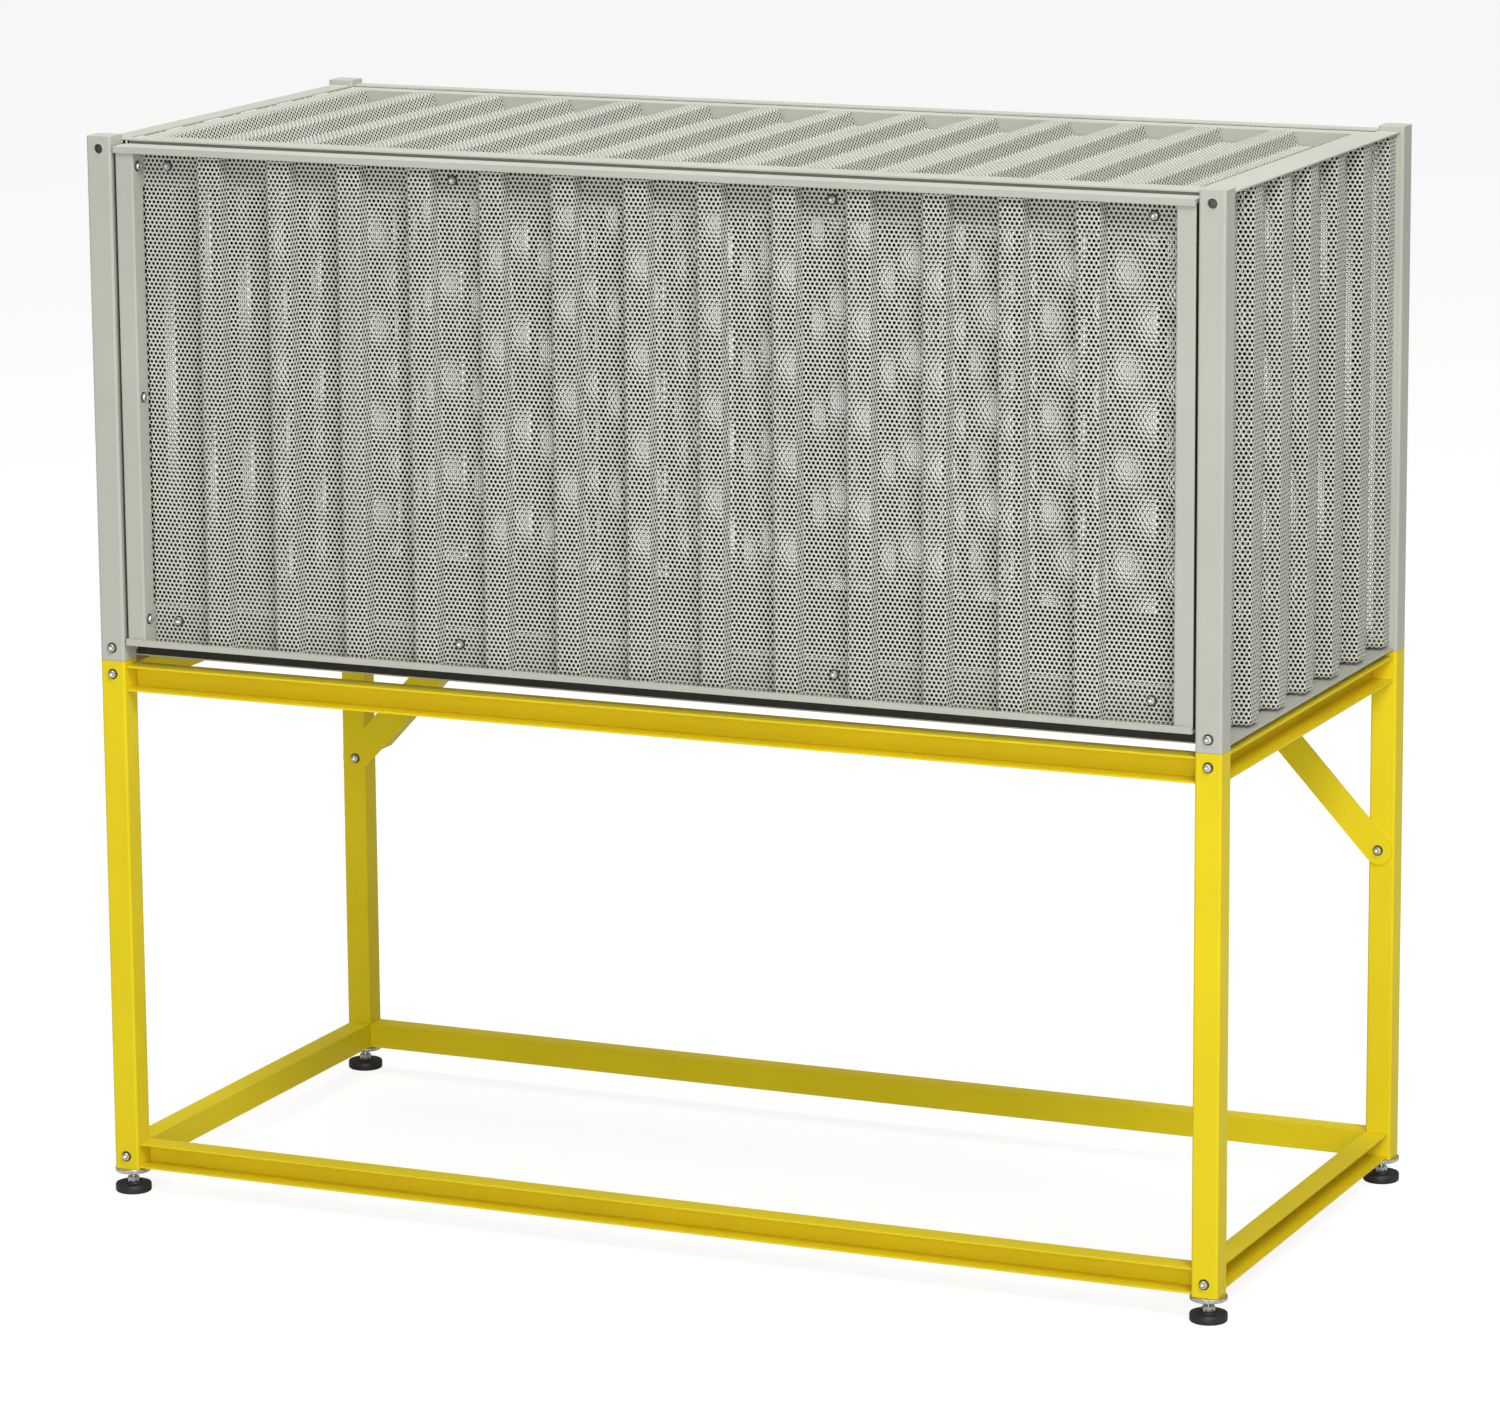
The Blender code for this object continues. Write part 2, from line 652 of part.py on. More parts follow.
def make_flap_rails():
    """The C-shaped top and bottom rails: a front lip, a flange and a deep rear flange."""
    half, back = FLAP_HALF, -INNER_Y - GAP
    parts = []
    for name, edge, inward in (("top", FLAP_TOP, -1), ("bottom", FLAP_BOTTOM, 1)):
        part_name = f"flap_rail_{name}"
        flange = sorted((edge, edge + inward * SHEET))
        lip = sorted((edge, edge + inward * LIP_HEIGHT))
        rear = sorted((edge, edge + inward * REAR_FLANGE))
        bm = bmesh.new()
        add_box(bm, (-half, FLAP_FRONT, flange[0]), (half, back, flange[1]))
        part = make_part(part_name, mesh_from(bm, part_name), "grey")
        for label, low, high in (
            ("lip", (-half, FLAP_FRONT, lip[0]), (half, FLAP_FRONT + LIP_THICKNESS, lip[1])),
            ("rear", (-half, back - SHEET, rear[0]), (half, back, rear[1])),
        ):
            extra = bmesh.new()
            add_box(extra, low, high)
            join(part, extra, f"{part_name}_{label}")
        holes = bmesh.new()
        for _, side in SIDES:
            add_screw_hole(holes, (side * SHEET_SCREW_X, back, SHEET_SCREW_HEIGHTS[name]))
        cut(part, holes, f"{part_name}_holes")
        parts.append(part)
    return parts


def make_stiles():
    """The square tubes at the sides of the flap, each bored for its pivot pin."""
    low, high = FLAP_BOTTOM + SHEET + GAP, FLAP_TOP - SHEET - GAP
    back = -INNER_Y - SHEET - 2 * GAP
    parts = []
    for name, side in SIDES:
        part_name = f"flap_stile_{name}"
        x_low, x_high = sorted((side * STILE_INNER, side * FLAP_HALF))
        bm = bmesh.new()
        add_bar(bm, (x_low, STILE_FRONT, low), (x_high, back, high), STILE_CORNER)
        part = make_part(part_name, mesh_from(bm, part_name), "grey")
        smooth(part)
        hollow = bmesh.new()
        inner_low = (x_low + SHEET, STILE_FRONT + SHEET, low - SHEET)
        add_box(hollow, inner_low, (x_high - SHEET, back - SHEET, high + SHEET))
        cut(part, hollow, f"{part_name}_hollow")
        bore = bmesh.new()
        start = PIVOT + Vector((side * (FLAP_HALF + SHEET), 0, 0))
        add_cylinder(bore, start, (-side, 0, 0), PIN_RADIUS + PIN_CLEARANCE, 3 * SHEET)
        cut(part, bore, f"{part_name}_bore")
        parts.append(part)
    return parts


def make_flap_panel():
    """The corrugated sheet of the flap and the screws that hold it at its corners."""
    half = STILE_INNER - GAP
    low, high = FLAP_BOTTOM + SHEET + GAP, FLAP_TOP - SHEET - GAP
    crests = crest_row(FLAP_FIRST_CREST, FLAP_PITCH, FLAP_CRESTS)
    outline = wave(-half, half, crests, CREST, SLOPE_RUN, CORRUGATION)
    trough_face = -INNER_Y - 2 * (SHEET + GAP)
    points = [(x, trough_face - height, low) for x, height in outline]
    panel = bent_sheet("flap_panel", points, (0, 0, high - low), SHEET, "grey", 1)
    places = [
        (f"flap_screw_{level}_{name}", (side * SHEET_SCREW_X, trough_face, height))
        for level, height in SHEET_SCREW_HEIGHTS.items()
        for name, side in SIDES
    ]
    holes = bmesh.new()
    for _, place in places:
        add_screw_hole(holes, place)
    cut(panel, holes, "flap_panel_holes")
    length = 2 * SHEET + 4 * GAP
    return [panel, *(make_screw(name, place, (0, -1, 0), length) for name, place in places)]


def make_flap():
    """The whole flap, hung on an empty on its pivot axis."""
    hinge = bpy.data.objects.new("flap_hinge", None)
    PARTS.objects.link(hinge)
    hinge.location = PIVOT
    for part in (*make_flap_rails(), *make_stiles(), *make_flap_panel()):
        part.parent = hinge
        part.matrix_parent_inverse = Matrix.Translation(PIVOT).inverted()


def make_pivots():
    """Shouldered pins between the posts and the flap's stiles, near its lower edge."""
    for name, side in SIDES:
        bm = bmesh.new()
        profile = [
            (0, GAP),
            (COLLAR_RADIUS, GAP),
            (COLLAR_RADIUS, FLAP_SIDE_GAP - GAP),
            (PIN_RADIUS, FLAP_SIDE_GAP - GAP),
            (PIN_RADIUS, PIN_LENGTH),
            (0, PIN_LENGTH),
        ]
        place = PIVOT + Vector((side * INNER_X, 0, 0))
        add_spun(bm, profile, ROUND_SEGMENTS, place, (-side, 0, 0))
        smooth(make_part(f"pivot_pin_{name}", mesh_from(bm, f"pivot_pin_{name}"), "zinc"))


def make_catches():
    """Magnet blocks under the front rim that hold the closed flap by its upper rear flange."""
    top = RIM_TOP - RIM_SKIRT - GAP
    for name, side in SIDES:
        low = (side * CATCH_X - CATCH[0] / 2, RIM_FRONT, top - CATCH[2])
        high = (low[0] + CATCH[0], RIM_FRONT + CATCH[1], top)
        make_block(f"magnet_catch_{name}", low, high, "black")


make_posts()
make_legs()
make_frame_screws()
make_stand_rails()
make_braces()
make_feet()
make_rims()
make_roof()
make_side_walls()
make_back_wall()
make_floor()
make_flap()
make_pivots()
make_catches()
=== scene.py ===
"""Looks of the container-style cabinet on its stand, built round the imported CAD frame.

Metres, +Z up, the front faces -Y. Positions come from the boxes of the CAD nodes.
"""

import json
import math

import bmesh
import bpy
import numpy as np
from mathutils import Matrix, Vector


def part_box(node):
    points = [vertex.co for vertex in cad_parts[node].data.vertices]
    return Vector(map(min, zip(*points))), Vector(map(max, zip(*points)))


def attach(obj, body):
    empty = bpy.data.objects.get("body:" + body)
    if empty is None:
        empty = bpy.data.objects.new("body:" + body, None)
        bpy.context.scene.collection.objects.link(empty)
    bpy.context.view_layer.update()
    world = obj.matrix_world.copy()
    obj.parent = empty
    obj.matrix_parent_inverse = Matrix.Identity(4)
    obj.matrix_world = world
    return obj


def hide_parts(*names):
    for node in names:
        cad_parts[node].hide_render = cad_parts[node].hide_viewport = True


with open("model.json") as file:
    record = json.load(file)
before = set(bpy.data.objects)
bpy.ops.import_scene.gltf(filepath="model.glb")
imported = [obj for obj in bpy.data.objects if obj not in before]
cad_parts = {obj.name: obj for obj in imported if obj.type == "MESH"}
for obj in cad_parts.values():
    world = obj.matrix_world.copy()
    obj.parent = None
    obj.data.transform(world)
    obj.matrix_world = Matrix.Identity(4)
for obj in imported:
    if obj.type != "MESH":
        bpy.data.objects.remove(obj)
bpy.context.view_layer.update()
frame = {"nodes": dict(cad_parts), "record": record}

SHEET = 0.0015  # thickness of all folded sheet metal
OVERLAP = 0.002  # how far a perforated sheet runs in behind its frame at each side

# Corrugations: the same sections as the CAD sheets
CREST = 0.0245
SLOPE_RUN = 0.0023
ROOF_RUN = 0.0045
BEND = 0.0020
FLAP_PITCH, FLAP_FIRST_CREST, FLAP_CRESTS = 0.0774, -0.4803, 13
WALL_PITCH, WALL_CRESTS = 0.0800, 7
BACK_PITCH, BACK_CRESTS = 0.0787, 14
ROOF_PITCH, ROOF_CRESTS = 0.0798, 13
ROOF_FLAT = 0.006  # of perforated sheet beside the first and last slope
ROOF_FRONT_MARGIN, ROOF_REAR_MARGIN = 0.030, 0.022

# Perforation: round holes in a triangular pattern with level rows
HOLE_PITCH = 0.00476
HOLE_RADIUS = 0.00160
DEEP_HOLE = 0.0038  # in the back and side walls, so that less shows through two sheets
HEXAGON_RADIUS = HOLE_RADIUS * math.sqrt(2 * math.pi / (3 * math.sqrt(3)))  # of equal area
MAX_HOLES = 8000  # in one piece, so that its mesh stays under 200 000 triangles
MAX_HOLES_LINED = 5300  # with an inner face as well
BAKED_WALL = 0.4  # radius of a hole's inner edge in the flat UV layout, of that of its rim
SHEET_SHARP = 32  # degrees

# Screws
HEAD = 0.0041  # radius of the head
HEAD_HEIGHT = 0.0034
SOCKET = 0.0019  # radius to the corners
WASHER = 0.0053
CAD_HEAD_TOP = 0.0036  # over the seat, with the small gap under the head
ROW_RISE = 0.005  # of the flap's other screws, over the lowest point of the CAD's heads beside them
STILE_FOOT_RISE = 0.007  # and of the lowest screw in a stile
BRACE_SCREW_INSET = (0.0137, 0.0131)  # from the brace's upper inner corner, outwards and down
STILE_SCREW_INSET = 0.0095  # from the stile's front face
RIVETS = ((-0.206, "middle_left"), (0.196, "middle_right"))

# Levelling feet
STEM = 0.004
NUT = 0.0068  # radius to the corners
NUT_HEIGHT = 0.0050
DISC_OVERSIZE = 0.0008  # over the CAD's disc
DISC_HEIGHT = 0.0042
THREAD_TURN = 0.00125
THREAD_DEPTH = 0.0005
UNDER_LEG = 0.0258  # height of the disc's top, just clear of the leg

# Trim, and the black strips and sheets that are painted shade
PORT_DROP = 0.0125  # from the top of a post to the middle of its port
SHADE_STRIP_PROUD = 0.0008  # that it stands out
SHADE_STRIP_SUNK = 0.0004
SHADE_SHEET_MARGIN = 0.003

SIDES = (("left", -1), ("right", 1))
ENDS = (("front", -1), ("rear", 1))


def low(node):
    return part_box(node)[0]


def high(node):
    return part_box(node)[1]


# Materials

def add_node(tree, kind, **values):
    """A shader node with its inputs set by name."""
    node = tree.nodes.new(kind)
    for name, value in values.items():
        node.inputs[name.replace("_", " ")].default_value = value
    return node


def noise(tree, scale, detail=2.0):
    """A noise factor in object space, which is the row frame."""
    place = tree.nodes.new("ShaderNodeTexCoord")
    node = add_node(tree, "ShaderNodeTexNoise", Scale=scale, Detail=detail)
    tree.links.new(place.outputs["Object"], node.inputs["Vector"])
    return node.outputs["Fac"]


def ramp(tree, factor, stops):
    """A colour ramp with (position, colour) stops."""
    node = tree.nodes.new("ShaderNodeValToRGB")
    for element, (position, colour) in zip(node.color_ramp.elements, (stops[0], stops[-1])):
        element.position = position
        element.color = (*colour, 1)
    for position, colour in stops[1:-1]:
        node.color_ramp.elements.new(position).color = (*colour, 1)
    tree.links.new(factor, node.inputs["Fac"])
    return node.outputs["Color"]


def spread(tree, factor, low_value, high_value):
    """A factor of 0 to 1 turned into a value between these two."""
    node = add_node(tree, "ShaderNodeMapRange", To_Min=low_value, To_Max=high_value)
    tree.links.new(factor, node.inputs["Value"])
    return node.outputs["Result"]


def blend(tree, factor, colours, other):
    """The colours, turning into the other colour where the factor is 1."""
    node = tree.nodes.new("ShaderNodeMixRGB")
    node.inputs["Color2"].default_value = (*other, 1)
    node.use_clamp = True
    tree.links.new(factor, node.inputs["Fac"])
    tree.links.new(colours, node.inputs["Color1"])
    return node.outputs["Color"]


def shade(colour, factor):
    """The colour made darker or lighter."""
    return tuple(min(1, channel * factor) for channel in colour)


def paint(name, colour, roughness=0.42, grain=1400, bump=0.06, inside=None, gloss=0.22):
    """Powder coat: a fine orange-peel surface with a faint drift in tone.

    inside is for a perforated sheet: the colour of its faces as seen from behind, which for the cabinet's
    walls is painted shade of the interior. The walls of its holes get painted shade, darker with their
    depth attribute.
    """
    material = bpy.data.materials.new(name)
    material.use_nodes = True
    tree = material.node_tree
    shader = tree.nodes["Principled BSDF"]
    drift = noise(tree, 9.0, 3.0)
    tones = ramp(tree, drift, ((0.3, shade(colour, 0.965)), (0.5, colour), (0.7, shade(colour, 1.03))))
    if inside:
        # Painted shade: the back faces take the inside colour, dark for the walls as the interior in shade
        side = tree.nodes.new("ShaderNodeNewGeometry")
        tones = blend(tree, side.outputs["Backfacing"], tones, inside)
        # Painted shade: the walls of the holes darken with their depth
        depth = tree.nodes.new("ShaderNodeAttribute")
        depth.attribute_name = "depth"
        tones = blend(tree, spread(tree, depth.outputs["Fac"], 0, WALL_SHADE), tones, HOLE_WALL_PAINTED_SHADE)
    tree.links.new(tones, shader.inputs["Base Color"])
    if bump:
        uneven = spread(tree, noise(tree, 60.0), roughness - 0.05, roughness + 0.06)
        tree.links.new(uneven, shader.inputs["Roughness"])
        dents = add_node(tree, "ShaderNodeBump", Strength=bump, Distance=0.0002)
        tree.links.new(noise(tree, grain, 1.0), dents.inputs["Height"])
        tree.links.new(dents.outputs["Normal"], shader.inputs["Normal"])
    else:
        shader.inputs["Roughness"].default_value = roughness
    shader.inputs["Specular IOR Level"].default_value = gloss
    return material


def plain(name, colour, roughness, metallic=0.0):
    """The even material that the detailed ones start from."""
    material = bpy.data.materials.new(name)
    material.use_nodes = True
    shader = material.node_tree.nodes["Principled BSDF"]
    shader.inputs["Base Color"].default_value = (*colour, 1)
    shader.inputs["Roughness"].default_value = roughness
    shader.inputs["Metallic"].default_value = metallic
    return material


def zinc(name):
    """Bright zinc plate with slightly uneven gloss."""
    material = plain(name, (0.72, 0.72, 0.70), 0.3, 1.0)
    tree = material.node_tree
    shader = tree.nodes["Principled BSDF"]
    cloud = noise(tree, 350.0, 3.0)
    tones = ramp(tree, cloud, ((0.35, (0.58, 0.58, 0.57)), (0.65, (0.80, 0.80, 0.78))))
    tree.links.new(tones, shader.inputs["Base Color"])
    tree.links.new(spread(tree, cloud, 0.22, 0.38), shader.inputs["Roughness"])
    return material


def moulded(name, colour):
    """Black moulded plastic with a fine spark-eroded grain."""
    material = plain(name, colour, 0.5)
    tree = material.node_tree
    shader = tree.nodes["Principled BSDF"]
    grain = noise(tree, 2500.0, 2.0)
    tree.links.new(ramp(tree, noise(tree, 120.0), ((0.3, colour), (0.7, shade(colour, 1.7)))),
                   shader.inputs["Base Color"])
    tree.links.new(spread(tree, grain, 0.38, 0.58), shader.inputs["Roughness"])
    dents = add_node(tree, "ShaderNodeBump", Strength=0.15, Distance=0.0002)
    tree.links.new(grain, dents.inputs["Height"])
    tree.links.new(dents.outputs["Normal"], shader.inputs["Normal"])
    return material


GREY = (0.515, 0.515, 0.450)
SHEET_GREY = (0.615, 0.615, 0.540)
# Painted shade: the back faces of the walls' sheets, dark as the cabinet's shaded interior
INSIDE_PAINTED_SHADE = (0.060, 0.060, 0.053)
# Painted shade: the colour deep in a hole's wall
HOLE_WALL_PAINTED_SHADE = (0.020, 0.020, 0.018)
WALL_SHADE = 2.5  # the painted shade in a hole's wall is full from 1 / this of the sheet's thickness down
YELLOW = (0.810, 0.640, 0.016)
LOOKS = {
    "grey_paint": paint("grey_powder_coat", GREY),
    "yellow_paint": paint("yellow_powder_coat", YELLOW, 0.36, gloss=0.08),
    "zinc_plate": zinc("bright_zinc"),
    "magnet_black": moulded("magnet_housing", (0.025, 0.025, 0.027)),
    "foot_plastic": moulded("foot_plastic", (0.014, 0.014, 0.015)),
}
WALL_SHEET = paint("grey_wall_sheet", SHEET_GREY, 0.45, bump=0, inside=INSIDE_PAINTED_SHADE, gloss=0.12)
FLAP_SHEET = paint("grey_flap_sheet", SHEET_GREY, 0.45, bump=0, inside=GREY, gloss=0.12)
# Painted shade: the near-black washer colour stands for the shade round a screw head
WASHER_PAINTED_SHADE = plain("painted_shade_washer", (0.020, 0.020, 0.020), 0.4)
# Painted shade: black for the strips and sheets that stand in for shade in gaps and in the interior
SHADE_BLACK = moulded("painted_shade_black", (0.010, 0.010, 0.010))


def finish_piece(piece, body, slot, nodes=(), material=None):
    """Gives a piece its material, by default that of its slot, puts it on its body and hides the CAD nodes
    it stands for.
    """
    piece.data.materials.clear()
    piece.data.materials.append(material or LOOKS[slot])
    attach(piece, body)
    if nodes:
        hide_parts(*nodes)
    return piece


def new_piece(name, mesh):
    """An object in the scene that shows the mesh."""
    piece = bpy.data.objects.new(name, mesh)
    bpy.context.scene.collection.objects.link(piece)
    return piece


def body_of(node):
    """The CAD body that a node belongs to."""
    bodies = frame["record"]["behaviour"]["bodies"]
    return next(body for body, nodes in bodies.items() if node in nodes)


# Sections and paths

def direction(angle):
    """The unit vector at an angle."""
    return np.array((math.cos(angle), math.sin(angle)))


def left_of(vector):
    """The vector turned a quarter to the left."""
    return np.array((-vector[1], vector[0]))


def rounded(points, radius, steps=5):
    """A path through 2D points with its corners rounded: its points and the angle it runs at there."""
    points = [np.array(point, float) for point in points]
    places, angles = [points[0]], []
    run = points[1] - points[0]
    angle = math.atan2(run[1], run[0])
    angles.append(angle)
    for corner, after in zip(points[1:-1], points[2:]):
        ahead = after - corner
        turn = math.remainder(math.atan2(ahead[1], ahead[0]) - angle, 2 * math.pi)
        if abs(turn) > 1e-4:
            side = math.copysign(1, turn)
            start = corner - direction(angle) * radius * math.tan(abs(turn) / 2)
            centre = start + left_of(direction(angle)) * radius * side
            for step in range(steps + 1):
                bearing = angle + turn * step / steps
                places.append(centre - left_of(direction(bearing)) * radius * side)
                angles.append(bearing)
            angle += turn
    places.append(points[-1])
    angles.append(angle)
    return np.array(places), np.array(angles)


def wave(start, end, crests, run, trough, crest):
    """Points (along, height) of a corrugated outline. crests are the starts of the crests."""
    points = []
    for edge in crests:
        points += [(edge - run, trough), (edge, crest), (edge + CREST, crest), (edge + CREST + run, trough)]
    inside = [point for point in points if start < point[0] < end]
    first = crest if crests[0] <= start else trough
    last = crest if crests[-1] + CREST >= end else trough
    return [(start, first), *inside, (end, last)]


def build_mesh(name, verts, faces):
    """A mesh from an array of points and an array of quads."""
    mesh = bpy.data.meshes.new(name)
    mesh.vertices.add(len(verts))
    mesh.vertices.foreach_set("co", verts.astype(np.float32).ravel())
    mesh.loops.add(faces.size)
    mesh.loops.foreach_set("vertex_index", faces.astype(np.int32).ravel())
    mesh.polygons.add(len(faces))
    starts = np.arange(0, faces.size, faces.shape[1], dtype=np.int32)
    mesh.polygons.foreach_set("loop_start", starts)
    mesh.update(calc_edges=True)
    return mesh


HEX_CORNERS = ((1, 1), (0, 2), (-1, 1), (-1, -1), (0, -2), (1, -1))  # in half pitches and half edges
HALF_EDGE = HOLE_PITCH / math.sqrt(3) / 2
HEX_ANGLES = np.radians(np.arange(30, 360, 60))
KEY_STEP = 100000  # joins a corner's two counts into one number


def hole_cells(length, low_edge, high_edge):
    """Centres of the holes on the flat sheet, counted in half pitches and half cell edges."""
    columns = int(length / HOLE_PITCH)
    rows = int((high_edge - low_edge) / (3 * HALF_EDGE))
    column, row = np.meshgrid(np.arange(columns), np.arange(rows))
    return 2 * column.ravel() + row.ravel() % 2 + 1, 3 * row.ravel() + 2


def shared_corners(across, along):
    """The corners that the cells share, in the same counts, and which six of them each cell has."""
    corners = [(across + dx, along + dy) for dx, dy in HEX_CORNERS]
    keys = np.stack([x.astype(np.int64) * KEY_STEP + y for x, y in corners], axis=1)
    unique, index = np.unique(keys, return_inverse=True)
    return unique // KEY_STEP, unique % KEY_STEP, index.reshape(keys.shape)


def cell_faces(corner_index, first_rim):
    """Quads of the rings round the holes and of the hole walls. The inner edges follow the rims."""
    rim = first_rim + np.arange(corner_index.size).reshape(-1, 6)
    inner = rim + corner_index.size
    after = np.roll(np.arange(6), -1)
    rings = np.stack([corner_index, corner_index[:, after], rim[:, after], rim], axis=-1)
    walls = np.stack([rim, rim[:, after], inner[:, after], inner], axis=-1)
    return rings.reshape(-1, 4), walls.reshape(-1, 4)


def lay_flat(mesh, flat, faces):
    """The UV layer for baking: each point's place on the flat sheet, fitted to the unit square."""
    flat = (flat - flat.min(0)) / (flat.max(0) - flat.min(0)).max()
    layer = mesh.uv_layers.new(name="OFBake")
    layer.uv.foreach_set("vector", flat[faces.ravel()].astype(np.float32).ravel())


def drawn_in(values):
    """Values of the holes' rims, moved towards their holes' middles."""
    return values * BAKED_WALL + values.mean(1)[:, None] * (1 - BAKED_WALL)


def perforated(name, outline, outward, low_edge, high_edge, place, body, node, material,
               hole_depth=SHEET, lined=False):
    """A perforated sheet bent along an outline, in strips: hexagonal cells round a hole, with its wall.

    The hole pattern is laid out on the flat sheet, then each point is carried to the bent one.
    place turns along-outline, height-of-outline and across into world coordinates. outward is the
    side of the outline that the outer face is on, 1 for the left and -1 for the right. A lined sheet
    has its inner face too.
    """
    path, angles = rounded(outline, BEND)
    travelled = np.concatenate(([0], np.cumsum(np.linalg.norm(np.diff(path, axis=0), axis=1))))
    across, along = hole_cells(travelled[-1], low_edge, high_edge)
    spare = travelled[-1] - across.max() * HOLE_PITCH / 2
    strips = math.ceil(len(across) / (MAX_HOLES_LINED if lined else MAX_HOLES))
    limits = np.linspace(0, across.max() + 1, strips + 1)

    def bend(run, rise, depth):
        """World points of the flat sheet's run and rise, at a depth below the outer face."""
        angle = np.interp(run, travelled, angles)
        x = np.interp(run, travelled, path[:, 0]) + np.sin(angle) * outward * depth
        y = np.interp(run, travelled, path[:, 1]) - np.cos(angle) * outward * depth
        return np.stack(place(x, y, rise), axis=-1).reshape(-1, 3)

    def on_sheet(count_across, count_along):
        """Run and rise of places given in half pitches and half edges."""
        return count_across * HOLE_PITCH / 2 + spare / 2, count_along * HALF_EDGE + low_edge

    for strip, (first, last) in enumerate(zip(limits, limits[1:]), start=1):
        chosen = (across >= first) & (across < last)
        *corner_counts, corner_index = shared_corners(across[chosen], along[chosen])
        corner_run, corner_rise = on_sheet(*corner_counts)
        middle_run, middle_rise = on_sheet(across[chosen], along[chosen])
        run = middle_run[:, None] + HEXAGON_RADIUS * np.cos(HEX_ANGLES)
        rise = middle_rise[:, None] + HEXAGON_RADIUS * np.sin(HEX_ANGLES)
        inner = bend(run, rise, hole_depth)
        rings, walls = cell_faces(corner_index, len(corner_run))
        face_points = len(corner_run) + run.size
        verts = [bend(corner_run, corner_rise, 0), bend(run, rise, 0), inner]
        faces = [rings, walls]
        depths = [np.zeros(face_points), np.full(run.size, hole_depth / SHEET)]
        face_flat = np.concatenate([np.stack([corner_run, corner_rise], axis=1),
                                    np.stack([run.ravel(), rise.ravel()], axis=1)])
        flat = [face_flat, np.stack([drawn_in(run).ravel(), drawn_in(rise).ravel()], axis=1)]
        if lined:
            verts += [bend(corner_run, corner_rise, hole_depth), inner]
            faces.append((rings + face_points + run.size)[:, ::-1])
            depths.append(np.zeros(face_points))
            flat.append(face_flat)
        verts, faces = np.concatenate(verts), np.concatenate(faces)
        corner, second, third = verts[faces[0]][:3]
        outside = bend(run[:1, :1], rise[:1, :1], -SHEET)[0] - bend(run[:1, :1], rise[:1, :1], 0)[0]
        if np.cross(second - corner, third - second) @ outside < 0:
            faces = faces[:, ::-1]
        mesh = build_mesh(f"{name}_{strip}", verts, faces)
        depth = mesh.attributes.new("depth", "FLOAT", "POINT")
        depth.data.foreach_set("value", np.concatenate(depths).astype(np.float32))
        lay_flat(mesh, np.concatenate(flat), faces)
        mesh.shade_smooth()
        mesh.set_sharp_from_angle(angle=math.radians(SHEET_SHARP))
        finish_piece(new_piece(f"{name}_{strip}", mesh), body, "grey_paint", (node,), material)


def crest_row(first, pitch, count):
    """Where each of a row of crests starts."""
    return [first + step * pitch for step in range(count)]


def centred_crests(pitch, count):
    """Where each crest starts, of a row with its middle at 0."""
    return crest_row(-((count - 1) * pitch + CREST) / 2, pitch, count)


def flap_sheet():
    """The flap's sheet, which is seen from both sides."""
    box_low, box_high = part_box("flap_panel")
    crest_face, trough_face = box_low.y, box_high.y - SHEET
    crests = crest_row(FLAP_FIRST_CREST, FLAP_PITCH, FLAP_CRESTS)
    outline = wave(box_low.x - OVERLAP, box_high.x + OVERLAP, crests, SLOPE_RUN, trough_face, crest_face)
    perforated("flap_sheet", outline, -1, box_low.z - SHEET, box_high.z + SHEET,
               lambda x, y, t: (x, y, t), "flap", "flap_panel", FLAP_SHEET, lined=True)


def side_sheets():
    """The sheets of both ends."""
    for name, side in SIDES:
        node = f"side_wall_{name}"
        box_low, box_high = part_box(node)
        crest_face = box_high.x if side > 0 else box_low.x
        trough_face = (box_low.x if side > 0 else box_high.x) + side * SHEET
        crests = centred_crests(WALL_PITCH, WALL_CRESTS)
        start, end = box_low.y - OVERLAP, box_high.y + OVERLAP
        outline = wave(start, end, crests, SLOPE_RUN, trough_face, crest_face)
        perforated(f"side_sheet_{name}", outline, side, box_low.z, box_high.z,
                   lambda x, y, t: (y, x, t), "cabinet", node, WALL_SHEET, DEEP_HOLE)


def back_sheet():
    """The sheet of the back."""
    box_low, box_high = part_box("back_wall")
    crests = centred_crests(BACK_PITCH, BACK_CRESTS)
    outline = wave(box_low.x - OVERLAP, box_high.x + OVERLAP, crests, SLOPE_RUN,
                   box_low.y + SHEET, box_high.y)
    perforated("back_sheet", outline, 1, box_low.z, box_high.z,
               lambda x, y, t: (x, y, t), "cabinet", "back_wall", WALL_SHEET, DEEP_HOLE)


def roof_sheet():
    """The roof's perforated sheet, with its margin."""
    box_low, box_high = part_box("roof_panel")
    top, trough = box_high.z, box_low.z + SHEET
    crests = centred_crests(ROOF_PITCH, ROOF_CRESTS)
    edge = crests[-1] + ROOF_PITCH
    front, rear = box_low.y + ROOF_FRONT_MARGIN, box_high.y - ROOF_REAR_MARGIN
    outline = [(-edge - ROOF_FLAT, top), (-edge, top), (-edge + ROOF_RUN, trough)]
    for start in crests:
        outline += [(start - ROOF_RUN, trough), (start, top)]
        outline += [(start + CREST, top), (start + CREST + ROOF_RUN, trough)]
    outline += [(edge - ROOF_RUN, trough), (edge, top), (edge + ROOF_FLAT, top)]
    perforated("roof_sheet", outline, 1, front, rear, lambda x, z, t: (x, t, z), "cabinet", "roof_panel",
               WALL_SHEET)
    roof_margin(front, rear, edge + ROOF_FLAT / 2)


